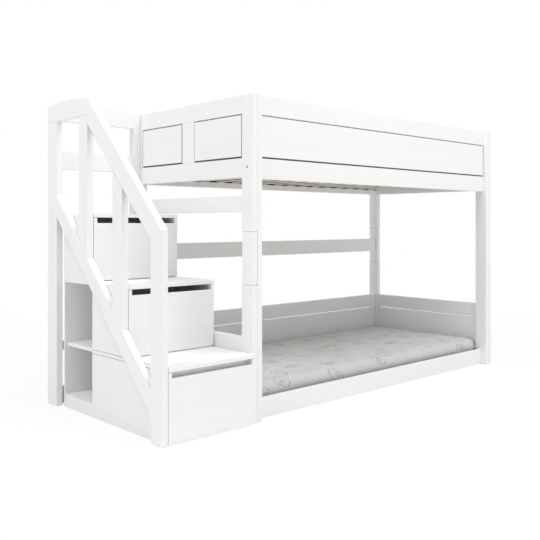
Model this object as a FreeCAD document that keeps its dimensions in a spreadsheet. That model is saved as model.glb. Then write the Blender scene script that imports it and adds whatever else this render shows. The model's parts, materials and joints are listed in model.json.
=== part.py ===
"""Bunk bed with a storage staircase at its left end.

Millimetres, +Z up. Places are worked out in the bed's own frame and then shifted to the part's
frame. In the bed's frame X runs along the bed from the outer face of its left end, Y runs from the
front faces of its posts to the wall, and Z is the height above the floor. The part's frame has its
origin on the floor, under the middle of the whole piece of furniture.
"""
import FreeCAD
import Part
import Sketcher
import math
import os

SIZES = {
    # the bed as a whole, for a 900 x 2000 mattress
    "bed_length": 2070,
    "bed_depth": 1020,
    "bed_height": 1531,
    # corner posts: a stile of the end frame, and at the front a side leg beside it
    "stile_thick": 32,
    "leg_thick": 28,
    "post_width": 80,
    "post_round": 4,
    "connector_bottom": 637,
    "connector_height": 250,
    "connector_round": 8,
    # bolts through the upper stiles into the side rails
    "bolt_height": 1189,
    "bolt_head_radius": 7,
    "bolt_head_length": 5,
    "bolt_sunk": 3,
    "bolt_shank_radius": 3.5,
    "bolt_socket_radius": 2.6,
    "bore_play": 0.2,
    # framed end boards
    "frame_thick": 28,
    "frame_recess": 2,
    "frame_round": 3,
    "top_rail_height": 90,
    "panel_space": 208,
    "end_rail_height": 91,
    "mullion_width": 104,
    "shadow_gap": 5,
    "lower_shadow_gap": 8,
    "panel_tongue": 6,
    "tie_rail_bottom": 979,
    "tie_rail_height": 77,
    # guards along the two long sides of the upper bunk
    "guard_recess": 22,
    "guard_thick": 22,
    "guard_top_rail_height": 94,
    "guard_panel_space": 205,
    "guard_rail_height": 98,
    "rear_guard_rail_height": 90,
    # rails and boards of the lower bunk
    "low_recess": 38,
    "low_thick": 22,
    "low_lift": 5,
    "low_rail_height": 93,
    "board_gap": 6,
    "wide_board_height": 194,
    "narrow_board_height": 89,
    "mid_rail_bottom": 718,
    "mid_rail_height": 92,
    # slats on ledges
    "ledge_thick": 22,
    "ledge_height": 36,
    "low_ledge_height": 23,
    "upper_slat_level": 1180,
    "slat_thick": 18,
    "slat_width": 60,
    "slat_play": 1,
    "slat_round": 3,
    # mattresses
    "mattress_end_room": 35,
    "mattress_side_room": 3,
    "mattress_side": 114,
    "mattress_crown": 8,
    "mattress_corner": 100,
    "mattress_draw": 4,
    # staircase: three cases stacked in steps towards the wall
    "stair_gap": 0.4,
    "case_width": 476,
    "front_reach": 21,
    "step_rise": 324,
    "step_going": 311,
    "case_wall_gap": 115,
    "board_thick": 18,
    "board_round": 1.5,
    "back_thick": 8,
    "niche_floor": 66,
    "base_lift": 2,
    # drawers
    "drawer_gap": 1,
    "drawer_top_gap": 2,
    "drawer_lift": 3,
    "low_drawer_lift": 6,
    "finger_slot": 27,
    "finger_room": 14,
    "finger_rail_height": 52,
    "box_thick": 12,
    "box_round": 1,
    "box_rise": 24,
    "box_height": 190,
    "box_bottom_thick": 6,
    "box_bottom_rise": 8,
    "box_side_room": 12.4,
    "box_back_room": 16,
    "runner_height": 30,
    "runner_ledge": 3,
    "runner_ledge_reach": 10,
    "runner_play": 0.3,
    "runner_back_room": 6,
    # railing on the open side of the stairs
    "rail_thick": 34,
    "rail_width": 90,
    "rail_round": 4,
    "newel_width": 80,
    "newel_top": 901,
    "rail_slope": 0.991,
    "stringer_width": 80,
    "stringer_slope": 0.98,
    "stringer_start": 224,
    "baluster_width": 83,
    "lower_baluster_place": 291,
    "arch_start": 605,
    "arch_bottom": 1440,
    "arch_crest": 1537,
    "arch_crest_back": 170,
    "arch_end": 1526,
    "rear_post_width": 100,
    "foot_height": 4,
    "foot_radius": 9,
    # frame behind the stairs
    "back_rail_recess": 41,
    "back_rail_thick": 24,
    "back_arch_bottom": 1448,
    "back_arch_end": 1533,
    "back_arch_crest": 1545,
    "back_mid_bottom": 1203,
    "back_mid_height": 91,
    "back_low_bottom": 278,
    "back_low_height": 44,
    "back_foot_height": 87,
    "back_stile_width": 42,
    "back_stile_thick": 50,
}
SLAT_COUNT = 17

doc = FreeCAD.newDocument("bunk_bed")
sheet = doc.addObject("Spreadsheet::Sheet", "Size")
for row, (alias, number) in enumerate(SIZES.items(), start=1):
    sheet.set(f"A{row}", alias)
    sheet.set(f"B{row}", str(number))
    sheet.setAlias(f"B{row}", alias)
doc.recompute()


class Length:
    """A length written over the size sheet: its expression, and its value in millimetres."""

    def __init__(self, text, value):
        self.text = text
        self.value = value

    def __add__(self, other):
        other = length(other)
        return Length(f"({self.text} + {other.text})", self.value + other.value)

    def __sub__(self, other):
        other = length(other)
        return Length(f"({self.text} - {other.text})", self.value - other.value)

    def __mul__(self, other):
        other = length(other)
        return Length(f"({self.text} * {other.text})", self.value * other.value)

    def __truediv__(self, other):
        other = length(other)
        return Length(f"({self.text} / {other.text})", self.value / other.value)

    __radd__ = __add__
    __rmul__ = __mul__

    def __rsub__(self, other):
        return length(other) - self

    def __neg__(self):
        return 0 - self


def length(number):
    """A plain number as a Length; a Length stays as it is."""
    return number if isinstance(number, Length) else Length(f"{number}", number)


def across_slope(width, slope):
    """The height that a sloping bar of this width takes up where a vertical line cuts it."""
    return width * Length(f"sqrt(1 + {slope.text}^2)", math.sqrt(1 + slope.value ** 2))


class Sizes:
    """The sheet's cells as Lengths, read by name."""

    def __getattr__(self, alias):
        return Length(f"Size.{alias}", float(sheet.get(alias)))


S = Sizes()
STAIR_REACH = S.stair_gap * 2 + S.case_width + S.rail_thick
ORIGIN_X = (S.bed_length - STAIR_REACH) / 2
ORIGIN_Y = (S.bed_depth - S.front_reach) / 2

nodes = []


def node(thing):
    """Keeps a finished sub-part for export."""
    nodes.append(thing)
    return thing


def group(label, pieces):
    """Several separate pieces of one kind, kept under one name."""
    compound = doc.addObject("Part::Compound", label)
    compound.Label = label
    compound.Links = pieces
    return node(compound)


def put(thing, x, y, z):
    """Places a sub-part: x, y and z are in the bed's frame."""
    for axis, place in zip("xyz", (x - ORIGIN_X, y - ORIGIN_Y, length(z))):
        thing.setExpression(f"Placement.Base.{axis}", place.text)


class Crest:
    """Between two corners of an outline: the edge there is an arc through this point."""

    def __init__(self, u, v):
        self.u = u
        self.v = v


def draw(body, plane, outline, base, offset=None):
    """An outline on one of the body's own planes, each corner held by sizes from the base point."""
    sketch = body.newObject("Sketcher::SketchObject", body.Name + "_outline")
    support = [f for f in body.Origin.OriginFeatures if f.Role == plane + "_Plane"][0]
    sketch.AttachmentSupport = (support, [""])
    sketch.MapMode = "FlatFace"
    if offset is not None:
        sketch.setExpression("AttachmentOffset.Base.z", offset.text)

    def point(u, v):
        return FreeCAD.Vector((u - base[0]).value, (v - base[1]).value, 0)

    def hold(geometry, position, u, v):
        for kind, axis, size, start in (("DistanceX", -2, u, base[0]), ("DistanceY", -1, v, base[1])):
            if size.text == start.text:
                sketch.addConstraint(Sketcher.Constraint("PointOnObject", geometry, position, axis))
                continue
            reach = size - start
            held = Sketcher.Constraint(kind, -1, 1, geometry, position, reach.value)
            sketch.setExpression(f"Constraints[{sketch.addConstraint(held)}]", reach.text)

    corners = [(length(p[0]), length(p[1])) for p in outline if not isinstance(p, Crest)]
    crests = {}
    seen = 0
    for p in outline:
        if isinstance(p, Crest):
            crests[seen - 1] = p
        else:
            seen += 1
    ends = []
    for i, corner in enumerate(corners):
        a = point(*corner)
        b = point(*corners[(i + 1) % len(corners)])
        if i in crests:
            edge = Part.Arc(a, point(crests[i].u, crests[i].v), b)
        else:
            edge = Part.LineSegment(a, b)
        geometry = sketch.addGeometry(edge, False)
        forward = sketch.getPoint(geometry, 1).distanceToPoint(a) < 1e-6
        ends.append((geometry, 1, 2) if forward else (geometry, 2, 1))
    for i, (geometry, first, last) in enumerate(ends):
        after, start = ends[(i + 1) % len(ends)][:2]
        sketch.addConstraint(Sketcher.Constraint("Coincident", geometry, last, after, start))
        hold(geometry, first, *corners[i])
        if i in crests:
            crest = crests[i]
            mark = sketch.addGeometry(Part.Point(point(crest.u, crest.v)), True)
            hold(mark, 1, crest.u, crest.v)
            sketch.addConstraint(Sketcher.Constraint("PointOnObject", mark, 1, geometry))
    return sketch


def pad(body, sketch, thickness):
    """Gives an outline its thickness."""
    feature = body.newObject("PartDesign::Pad", body.Name + "_pad")
    feature.Profile = sketch
    feature.setExpression("Length", thickness.text)
    sketch.Visibility = False
    return feature


def ease(body, feature, radius, joints=()):
    """Rounds the edges of a piece, but not those of the faces that meet another piece in a flush
    joint; each joint is a straight side of a YZ outline, as its two ends seen from the base."""
    doc.recompute()
    fillet = body.newObject("PartDesign::Fillet", body.Name + "_ease")
    if joints:
        fillet.Base = (feature, [f"Edge{i}" for i, edge in enumerate(feature.Shape.Edges, start=1)
                                 if not any(lies_in(edge, *joint) for joint in joints)])
    else:
        fillet.Base = (feature, [""])
        fillet.UseAllEdges = True
    fillet.setExpression("Radius", radius.text)


def lies_in(edge, a, b):
    """Whether an edge lies in the plane that stands across the YZ plane on the line from a to b."""
    run, rise = b[0] - a[0], b[1] - a[1]
    reach = math.hypot(run, rise)
    return all(abs((v.Y - a[0]) * rise - (v.Z - a[1]) * run) < 1e-4 * reach
               for v in edge.Vertexes)


def plate(label, plane, outline, across, radius=None, flush=()):
    """A piece sawn to an outline on the XY, XZ or YZ plane; across is where it starts and ends
    along the third axis. Its edges are rounded unless radius is None; flush counts the sides of
    a YZ outline that are flush joints."""
    body = doc.addObject("PartDesign::Body", label)
    body.Label = label
    corners = [(length(p[0]), length(p[1])) for p in outline if not isinstance(p, Crest)]
    base = corners[0]
    start, end = length(across[0]), length(across[1])
    if plane == "XY":
        put(body, base[0], base[1], start)
    elif plane == "YZ":
        put(body, start, base[0], base[1])
    else:
        put(body, base[0], end, base[1])
    feature = pad(body, draw(body, plane, outline, base), end - start)
    if radius is not None:
        sides = [(corners[i], corners[(i + 1) % len(corners)]) for i in flush]
        ease(body, feature, radius,
             [[((u - base[0]).value, (v - base[1]).value) for u, v in side] for side in sides])
    return body


def board(label, x, y, z, radius=None):
    """A plain board between two places along each axis."""
    floor_plan = [(x[0], y[0]), (x[1], y[0]), (x[1], y[1]), (x[0], y[1])]
    return plate(label, "XY", floor_plan, z, radius)


def panel(label, plane, u, v, across):
    """A panel held by its tongue: the tongue fills the frame, the face stops short of it."""
    u, v, across = [tuple(length(p) for p in pair) for pair in (u, v, across)]
    body = doc.addObject("PartDesign::Body", label)
    body.Label = label
    if plane == "YZ":
        put(body, across[0], u[0], v[0])
    else:
        put(body, u[0], across[1], v[0])
    base = (u[0], v[0])
    thickness = across[1] - across[0]
    gap = S.shadow_gap
    tongue = [(u[0], v[0]), (u[1], v[0]), (u[1], v[1]), (u[0], v[1])]
    foot = v[0] + S.lower_shadow_gap
    face = [(u[0] + gap, foot), (u[1] - gap, foot),
            (u[1] - gap, v[1] - gap), (u[0] + gap, v[1] - gap)]
    pad(body, draw(body, plane, tongue, base, (thickness - S.panel_tongue) / 2), S.panel_tongue)
    pad(body, draw(body, plane, face, base), thickness)
    return body


# ---------------------------------------------------------------- places that many pieces share
INNER_LEFT = S.stile_thick + S.leg_thick
INNER_RIGHT = S.bed_length - INNER_LEFT
FRONT_SPAN = (INNER_LEFT, INNER_RIGHT)
REAR_SPAN = (S.stile_thick, S.bed_length - S.stile_thick)
POST_FRONT = (length(0), S.post_width)
POST_REAR = (S.bed_depth - S.post_width, S.bed_depth)
END_SPAN = (S.post_width, S.bed_depth - S.post_width)
LEFT_STILE = (length(0), S.stile_thick)
RIGHT_STILE = (S.bed_length - S.stile_thick, S.bed_length)
LEFT_FRAME = (S.frame_recess, S.frame_recess + S.frame_thick)
RIGHT_FRAME = (S.bed_length - S.frame_recess - S.frame_thick, S.bed_length - S.frame_recess)
CONNECTOR_TOP = S.connector_bottom + S.connector_height
PANEL_TOP = S.bed_height - S.top_rail_height
PANEL_BOTTOM = PANEL_TOP - S.panel_space
GUARD_FRONT = (S.guard_recess, S.guard_recess + S.guard_thick)
GUARD_REAR = (S.bed_depth - GUARD_FRONT[1], S.bed_depth - GUARD_FRONT[0])
LOW_FRONT = (S.low_recess, S.low_recess + S.low_thick)
LOW_REAR = (S.bed_depth - LOW_FRONT[1], S.bed_depth - LOW_FRONT[0])
# a front bolt ends in a leg, a rear one in the end of the guard's bottom rail
BOLT_ROWS = (("front", POST_FRONT, (POST_FRONT[0] + POST_FRONT[1]) / 2),
             ("rear", POST_REAR, (GUARD_REAR[0] + GUARD_REAR[1]) / 2))


# ---------------------------------------------------------------- corner posts
def stiles(label, x, z, radius):
    """The same length of stile at the front and at the wall."""
    return group(label, [board(f"{label}_{name}", x, y, z, radius)
                         for name, y in (("front", POST_FRONT), ("rear", POST_REAR))])


def upper_stiles(label, x, outer, inward):
    """The upper stiles, each bored from its outer face for a sunk bolt."""
    bored = []
    for name, y, middle in BOLT_ROWS:
        body = board(f"{label}_{name}", x, y, (CONNECTOR_TOP, S.bed_height), S.post_round)
        shank = doc.addObject("Part::Cylinder", f"{label}_{name}_bore")
        sink = doc.addObject("Part::Cylinder", f"{label}_{name}_sink")
        bores = doc.addObject("Part::Fuse", f"{label}_{name}_bores")
        shank.setExpression("Radius", (S.bolt_shank_radius + S.bore_play).text)
        shank.setExpression("Height", S.stile_thick.text)
        sink.setExpression("Radius", (S.bolt_head_radius + S.bore_play).text)
        sink.setExpression("Height", (S.bolt_sunk + S.bolt_head_length).text)
        for tool in (shank, sink):
            tool.Placement.Rotation = FreeCAD.Rotation(FreeCAD.Vector(0, inward, 0), 90)
            put(tool, outer, middle, S.bolt_height)
        bores.Base = shank
        bores.Tool = sink
        cut = doc.addObject("Part::Cut", f"{label}_{name}_bored")
        cut.Base = body
        cut.Tool = bores
        bored.append(cut)
    return group(label, bored)


def bolt(label, outer, middle, inward):
    """A socket-head bolt: its head sits at the bottom of the sink, its shank reaches the leg."""
    parts = []
    for name, radius, start, end in (
            ("head", S.bolt_head_radius, S.bolt_sunk, S.bolt_sunk + S.bolt_head_length),
            ("shank", S.bolt_shank_radius, S.bolt_sunk + S.bolt_head_length, S.stile_thick),
            ("socket", S.bolt_socket_radius, S.bolt_sunk,
             S.bolt_sunk + S.bolt_head_length * 0.6)):
        rod = doc.addObject("Part::Cylinder", f"{label}_{name}")
        rod.setExpression("Radius", radius.text)
        rod.setExpression("Height", (end - start).text)
        rod.Placement.Rotation = FreeCAD.Rotation(FreeCAD.Vector(0, inward, 0), 90)
        put(rod, outer + start * inward, middle, S.bolt_height)
        parts.append(rod)
    solid = doc.addObject("Part::Fuse", f"{label}_solid")
    solid.Base, solid.Tool = parts[0], parts[1]
    cut = doc.addObject("Part::Cut", label)
    cut.Base, cut.Tool = solid, parts[2]
    return cut


stiles("left_lower_posts", LEFT_STILE, (0, S.connector_bottom), S.post_round)
stiles("right_lower_posts", RIGHT_STILE, (0, S.connector_bottom), S.post_round)
group("post_connectors", [
    board(f"connector_{side}_{name}", x, y, (S.connector_bottom, CONNECTOR_TOP), S.connector_round)
    for side, x in (("left", LEFT_STILE), ("right", RIGHT_STILE))
    for name, y in (("front", POST_FRONT), ("rear", POST_REAR))])
upper_stiles("left_upper_posts", LEFT_STILE, length(0), 1)
upper_stiles("right_upper_posts", RIGHT_STILE, S.bed_length, -1)
group("front_side_legs", [
    board("front_leg_left", (S.stile_thick, INNER_LEFT), POST_FRONT, (0, S.bed_height),
          S.post_round),
    board("front_leg_right", (INNER_RIGHT, S.bed_length - S.stile_thick), POST_FRONT,
          (0, S.bed_height), S.post_round)])
group("frame_bolts", [
    bolt(f"bolt_{side}_{name}", outer, middle, inward)
    for side, outer, inward in (("left", length(0), 1), ("right", S.bed_length, -1))
    for name, y, middle in BOLT_ROWS])


# ---------------------------------------------------------------- framed ends of the upper bunk
def framed_end(side, x):
    """Two rails and a mullion round two panels."""
    middle = S.bed_depth / 2
    mullion = (middle - S.mullion_width / 2, middle + S.mullion_width / 2)
    node(board(f"{side}_end_top_rail", x, END_SPAN, (PANEL_TOP, S.bed_height), S.frame_round))
    node(board(f"{side}_end_bottom_rail", x, END_SPAN,
               (PANEL_BOTTOM - S.end_rail_height, PANEL_BOTTOM), S.frame_round))
    node(board(f"{side}_end_mullion", x, mullion, (PANEL_BOTTOM, PANEL_TOP), S.frame_round))
    group(f"{side}_end_panels", [
        panel(f"{side}_panel_{name}", "YZ", y, (PANEL_BOTTOM, PANEL_TOP), x)
        for name, y in (("front", (END_SPAN[0], mullion[0])), ("rear", (mullion[1], END_SPAN[1])))])


framed_end("left", LEFT_FRAME)
framed_end("right", RIGHT_FRAME)
node(board("left_end_tie_rail", LEFT_FRAME, END_SPAN,
           (S.tie_rail_bottom, S.tie_rail_bottom + S.tie_rail_height), S.frame_round))


# ---------------------------------------------------------------- guards of the upper bunk
def guard(side, x, y, bottom_height):
    """The framed board along one long side."""
    panel_top = S.bed_height - S.guard_top_rail_height
    panel_bottom = panel_top - S.guard_panel_space
    node(board(f"{side}_guard_top_rail", x, y, (panel_top, S.bed_height), S.frame_round))
    node(panel(f"{side}_guard_panel", "XZ", x, (panel_bottom, panel_top), y))
    node(board(f"{side}_guard_bottom_rail", x, y,
               (panel_bottom - bottom_height, panel_bottom), S.frame_round))


guard("front", FRONT_SPAN, GUARD_FRONT, S.guard_rail_height)
guard("rear", REAR_SPAN, GUARD_REAR, S.rear_guard_rail_height)


# ---------------------------------------------------------------- rails and boards below
LOW_RAIL = (S.low_lift, S.low_lift + S.low_rail_height)
WIDE_BOARD = (LOW_RAIL[1] + S.board_gap, LOW_RAIL[1] + S.board_gap + S.wide_board_height)
NARROW_BOARD = (WIDE_BOARD[1] + S.board_gap,
                WIDE_BOARD[1] + S.board_gap + S.narrow_board_height)

node(board("lower_front_rail", FRONT_SPAN, LOW_FRONT, LOW_RAIL, S.frame_round))
node(board("rear_mid_rail", REAR_SPAN, LOW_REAR,
           (S.mid_rail_bottom, S.mid_rail_bottom + S.mid_rail_height), S.frame_round))
for label, x, y in (("lower_rear_boards", REAR_SPAN, LOW_REAR),
                    ("lower_left_boards", LEFT_FRAME, END_SPAN),
                    ("lower_right_boards", RIGHT_FRAME, END_SPAN)):
    group(label, [board(f"{label}_{name}", x, y, z, S.frame_round)
                  for name, z in (("rail", LOW_RAIL), ("wide", WIDE_BOARD),
                                  ("narrow", NARROW_BOARD))])


# ---------------------------------------------------------------- slats and their ledges
def slatted_base(label, level, ledge_height, front, rear):
    """Ledges along the two side rails, with slats lying across them; level is the slats' underside."""
    ledge_span = (level - ledge_height, level)
    group(f"{label}_slat_ledges", [
        board(f"{label}_ledge_front", FRONT_SPAN, (front, front + S.ledge_thick), ledge_span),
        board(f"{label}_ledge_rear", REAR_SPAN, (rear - S.ledge_thick, rear), ledge_span)])
    pitch = (REAR_SPAN[1] - REAR_SPAN[0]) / SLAT_COUNT
    slats = []
    for i in range(SLAT_COUNT):
        middle = REAR_SPAN[0] + pitch * (i + 0.5)
        slats.append(board(f"{label}_slat_{i + 1}",
                           (middle - S.slat_width / 2, middle + S.slat_width / 2),
                           (front + S.slat_play, rear - S.slat_play),
                           (level, level + S.slat_thick), S.slat_round))
    group(f"{label}_slats", slats)


LOWER_SLAT_LEVEL = S.low_lift + S.low_ledge_height
slatted_base("upper", S.upper_slat_level, S.ledge_height, GUARD_FRONT[1], GUARD_REAR[0])
slatted_base("lower", LOWER_SLAT_LEVEL, S.low_ledge_height, LOW_FRONT[1], LOW_REAR[0])


# ---------------------------------------------------------------- mattresses
def cushion_ring(half_long, half_wide, corner, draw_in, height):
    """A closed ring at one height: rounded corners, and sides drawn in between them."""
    a, b = half_long - corner, half_wide - corner
    slant = corner * math.sqrt(0.5)

    def at(x, y):
        return FreeCAD.Vector(x, y, height)

    edges = []
    for sx, sy in ((1, -1), (1, 1), (-1, 1), (-1, -1)):
        if sx == -sy:  # a long side's end comes first, then the short side
            first, last = at(sx * a, sy * half_wide), at(sx * half_long, sy * b)
            side_end, middle = at(sx * half_long, -sy * b), at(sx * (half_long - draw_in), 0)
        else:
            first, last = at(sx * half_long, sy * b), at(sx * a, sy * half_wide)
            side_end, middle = at(-sx * a, sy * half_wide), at(0, sy * (half_wide - draw_in))
        bend = at(sx * (a + slant), sy * (b + slant))
        edges.append(Part.Arc(first, bend, last).toShape())
        edges.append(Part.Arc(last, middle, side_end).toShape())
    return Part.Wire(edges)


def mattress(label, level):
    """A foam mattress: soft edges, sides drawn in, and a crown that falls away to the edges."""
    half_long = (S.bed_length / 2 - S.mattress_end_room).value
    half_wide = ((LOW_REAR[0] - LOW_FRONT[1]) / 2 - S.mattress_side_room).value
    side, crown = S.mattress_side.value, S.mattress_crown.value
    corner, draw_in = S.mattress_corner.value, S.mattress_draw.value
    inset_and_height = (
        (side * 0.12, 0),
        (side * 0.03, side * 0.1),
        (0, side * 0.3),
        (0, side * 0.7),
        (side * 0.04, side * 0.9),
        (side * 0.16, side),
        (side * 0.9, side + crown * 0.55),
        (half_wide * 0.55, side + crown),
    )
    rings = [cushion_ring(half_long - inset, half_wide - inset, max(corner - inset, corner / 2),
                          draw_in, height) for inset, height in inset_and_height]
    feature = doc.addObject("Part::Feature", label)
    feature.Label = label
    feature.Shape = Part.makeLoft(rings, True, True)
    put(feature, S.bed_length / 2, S.bed_depth / 2, level)
    return node(feature)


mattress("upper_mattress", S.upper_slat_level + S.slat_thick)
mattress("lower_mattress", LOWER_SLAT_LEVEL + S.slat_thick)

# ---------------------------------------------------------------- staircase cases
CASE_RIGHT = -S.stair_gap
CASE_LEFT = CASE_RIGHT - S.case_width
CASE_SPAN = (CASE_LEFT, CASE_RIGHT)
LEFT_SIDE = (CASE_LEFT, CASE_LEFT + S.board_thick)
RIGHT_SIDE = (CASE_RIGHT - S.board_thick, CASE_RIGHT)
INSIDE = (LEFT_SIDE[1], RIGHT_SIDE[0])
CASE_BACK = S.bed_depth - S.case_wall_gap
BACK_FACE = CASE_BACK - S.back_thick
FRONTS = [-S.front_reach + S.step_going * i for i in range(3)]
TOPS = [S.step_rise * (i + 1) for i in range(3)]
CASE_FRONTS = [front + S.board_thick + S.drawer_gap for front in FRONTS]
PARTITION = (FRONTS[2], FRONTS[2] + S.board_thick)

lower_tread = [(CASE_LEFT, FRONTS[0]), (CASE_RIGHT, FRONTS[0]), (CASE_RIGHT, BACK_FACE),
               (INSIDE[0], BACK_FACE), (INSIDE[0], PARTITION[1]), (CASE_LEFT, PARTITION[1])]
node(plate("lower_tread", "XY", lower_tread, (TOPS[0] - S.board_thick, TOPS[0]), S.board_round))
node(board("middle_tread", CASE_SPAN, (FRONTS[1], BACK_FACE),
           (TOPS[1] - S.board_thick, TOPS[1]), S.board_round))
node(board("top_tread", CASE_SPAN, (FRONTS[2], BACK_FACE),
           (TOPS[2] - S.board_thick, TOPS[2]), S.board_round))
node(board("stair_back_panel", CASE_SPAN, (BACK_FACE, CASE_BACK), (0, TOPS[2])))

FLOOR_TOP = S.niche_floor
lower_z = (length(0), TOPS[0] - S.board_thick)
middle_z = (TOPS[0], TOPS[1] - S.board_thick)
top_z = (TOPS[1], TOPS[2] - S.board_thick)


def case_board(label, x, y, z):
    """A board of the cases, with the soft edges of its edge band."""
    return board(label, x, y, z, S.board_round)


group("lower_case_panels", [
    case_board("lower_case_left", LEFT_SIDE, (CASE_FRONTS[0], PARTITION[1]), lower_z),
    case_board("lower_case_right", RIGHT_SIDE, (CASE_FRONTS[0], BACK_FACE), lower_z),
    case_board("lower_case_partition", INSIDE, PARTITION, lower_z),
    case_board("lower_case_base", INSIDE, (CASE_FRONTS[0], PARTITION[0]),
               (S.base_lift, S.base_lift + S.board_thick)),
    case_board("lower_case_finger_rail", INSIDE,
               (CASE_FRONTS[0] + S.finger_room, CASE_FRONTS[0] + S.finger_room + S.board_thick),
               (lower_z[1] - S.finger_rail_height, lower_z[1])),
    case_board("niche_plinth", LEFT_SIDE, (PARTITION[1], BACK_FACE), (0, FLOOR_TOP)),
    case_board("niche_floor", INSIDE, (PARTITION[1], BACK_FACE),
               (FLOOR_TOP - S.board_thick, FLOOR_TOP))])
group("middle_case_panels", [
    case_board("middle_case_left", LEFT_SIDE, (CASE_FRONTS[1], PARTITION[1]), middle_z),
    case_board("middle_case_right", RIGHT_SIDE, (CASE_FRONTS[1], BACK_FACE), middle_z),
    case_board("middle_case_partition", INSIDE, PARTITION, middle_z)])
group("top_case_panels", [
    case_board("top_case_left", LEFT_SIDE, (CASE_FRONTS[2], BACK_FACE), top_z),
    case_board("top_case_right", RIGHT_SIDE, (CASE_FRONTS[2], BACK_FACE), top_z)])


# ---------------------------------------------------------------- drawers and their runners
BOX_SPAN = (INSIDE[0] + S.box_side_room, INSIDE[1] - S.box_side_room)
runners = []


def drawer(name, front, bottom, tread_top, back):
    """A drawer: its front covers the case's edges and has a finger slot sawn into its top edge."""
    face = (CASE_LEFT + S.drawer_gap, CASE_RIGHT - S.drawer_gap)
    top = tread_top - S.board_thick - S.drawer_top_gap
    slot_bottom = tread_top - S.board_thick - S.finger_slot
    outline = [(face[0], bottom), (face[1], bottom), (face[1], top), (INSIDE[1], top),
               (INSIDE[1], slot_bottom), (INSIDE[0], slot_bottom), (INSIDE[0], top), (face[0], top)]
    node(plate(f"{name}_drawer_front", "XZ", outline, (front, front + S.board_thick),
               S.board_round))
    box = (front + S.board_thick, back - S.box_back_room)
    low = bottom + S.box_rise
    high = low + S.box_height
    inner = (BOX_SPAN[0] + S.box_thick, BOX_SPAN[1] - S.box_thick)
    floor = (low + S.box_bottom_rise, low + S.box_bottom_rise + S.box_bottom_thick)
    group(f"{name}_drawer_box", [
        board(f"{name}_box_left", (BOX_SPAN[0], inner[0]), box, (low, high), S.box_round),
        board(f"{name}_box_right", (inner[1], BOX_SPAN[1]), box, (low, high), S.box_round),
        board(f"{name}_box_back", inner, (box[1] - S.box_thick, box[1]), (low, high),
              S.box_round),
        board(f"{name}_box_bottom", inner, (box[0], box[1] - S.box_thick), floor)])
    foot = low - S.runner_play - S.runner_ledge
    shelf = foot + S.runner_ledge
    head = foot + S.runner_height
    run = (front + S.board_thick + S.drawer_gap, back - S.runner_back_room)
    flange = INSIDE[0] + S.box_side_room - S.runner_play
    lip = flange + S.runner_ledge_reach
    runners.append(plate(f"{name}_runner_left", "XZ", [
        (INSIDE[0], foot), (lip, foot), (lip, shelf), (flange, shelf),
        (flange, head), (INSIDE[0], head)], run))
    flange = INSIDE[1] - S.box_side_room + S.runner_play
    lip = flange - S.runner_ledge_reach
    runners.append(plate(f"{name}_runner_right", "XZ", [
        (lip, foot), (INSIDE[1], foot), (INSIDE[1], head), (flange, head),
        (flange, shelf), (lip, shelf)], run))


drawer("lower", FRONTS[0], S.low_drawer_lift, TOPS[0], PARTITION[0])
drawer("middle", FRONTS[1], TOPS[0] + S.drawer_lift, TOPS[1], PARTITION[0])
drawer("top", FRONTS[2], TOPS[1] + S.drawer_lift, TOPS[2], BACK_FACE)
group("drawer_runners", runners)

# ---------------------------------------------------------------- railing on the open side
RAIL_INNER = CASE_LEFT - S.stair_gap
RAIL = (RAIL_INNER - S.rail_thick, RAIL_INNER)
NEWEL = (-S.front_reach, -S.front_reach + S.newel_width)
REAR_POST = (S.bed_depth - S.rear_post_width, S.bed_depth)


def handrail_top(y):
    """Height of the handrail's upper edge above a place along the stairs."""
    return S.newel_top + S.rail_slope * (y - NEWEL[0])


def handrail_under(y):
    """Height of the handrail's lower edge."""
    return handrail_top(y) - across_slope(S.rail_width, S.rail_slope)


def stringer_top(y):
    """Height of the stringer's upper edge."""
    return S.stringer_start + S.stringer_slope * (y - NEWEL[1])


def stringer_under(y):
    """Height of the stringer's lower edge."""
    return stringer_top(y) - across_slope(S.stringer_width, S.stringer_slope)


def between(y, low, high):
    """An outline between two places, with the heights of its lower and upper edge at each."""
    return [(y[0], low(y[0])), (y[1], low(y[1])), (y[1], high(y[1])), (y[0], high(y[0]))]


BACK_END, TOP_END, FRONT_END, FOOT_END = 1, 2, 3, 0  # the sides of such an outline
node(plate("newel_post", "YZ", between(NEWEL, lambda y: S.foot_height, handrail_top),
           RAIL, S.rail_round, (BACK_END,)))
node(plate("handrail", "YZ",
           between((NEWEL[1], S.arch_start), handrail_under, handrail_top), RAIL, S.rail_round,
           (FRONT_END, BACK_END)))
node(plate("stringer", "YZ",
           between((NEWEL[1], REAR_POST[0]), stringer_under, stringer_top), RAIL, S.rail_round,
           (FRONT_END, BACK_END)))
LOWER_BALUSTER = (S.lower_baluster_place, S.lower_baluster_place + S.baluster_width)
UPPER_BALUSTER = (S.arch_start, S.arch_start + S.baluster_width)
group("balusters", [
    plate("lower_baluster", "YZ", between(LOWER_BALUSTER, stringer_top, handrail_under),
          RAIL, S.rail_round, (FOOT_END, TOP_END)),
    plate("upper_baluster", "YZ", between(UPPER_BALUSTER, stringer_top, lambda y: S.arch_bottom),
          RAIL, S.rail_round, (FOOT_END, TOP_END))])
node(plate("stair_rear_post", "YZ",
           between(REAR_POST, lambda y: S.foot_height, lambda y: S.arch_bottom), RAIL, S.rail_round,
           (TOP_END,)))
node(plate("stair_arch_rail", "YZ", [
    (S.arch_start, S.arch_bottom), (S.bed_depth, S.arch_bottom), (S.bed_depth, S.arch_end),
    Crest(S.bed_depth - S.arch_crest_back, S.arch_crest),
    (S.arch_start, handrail_top(S.arch_start))],
    RAIL, S.rail_round, (FRONT_END,)))

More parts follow.
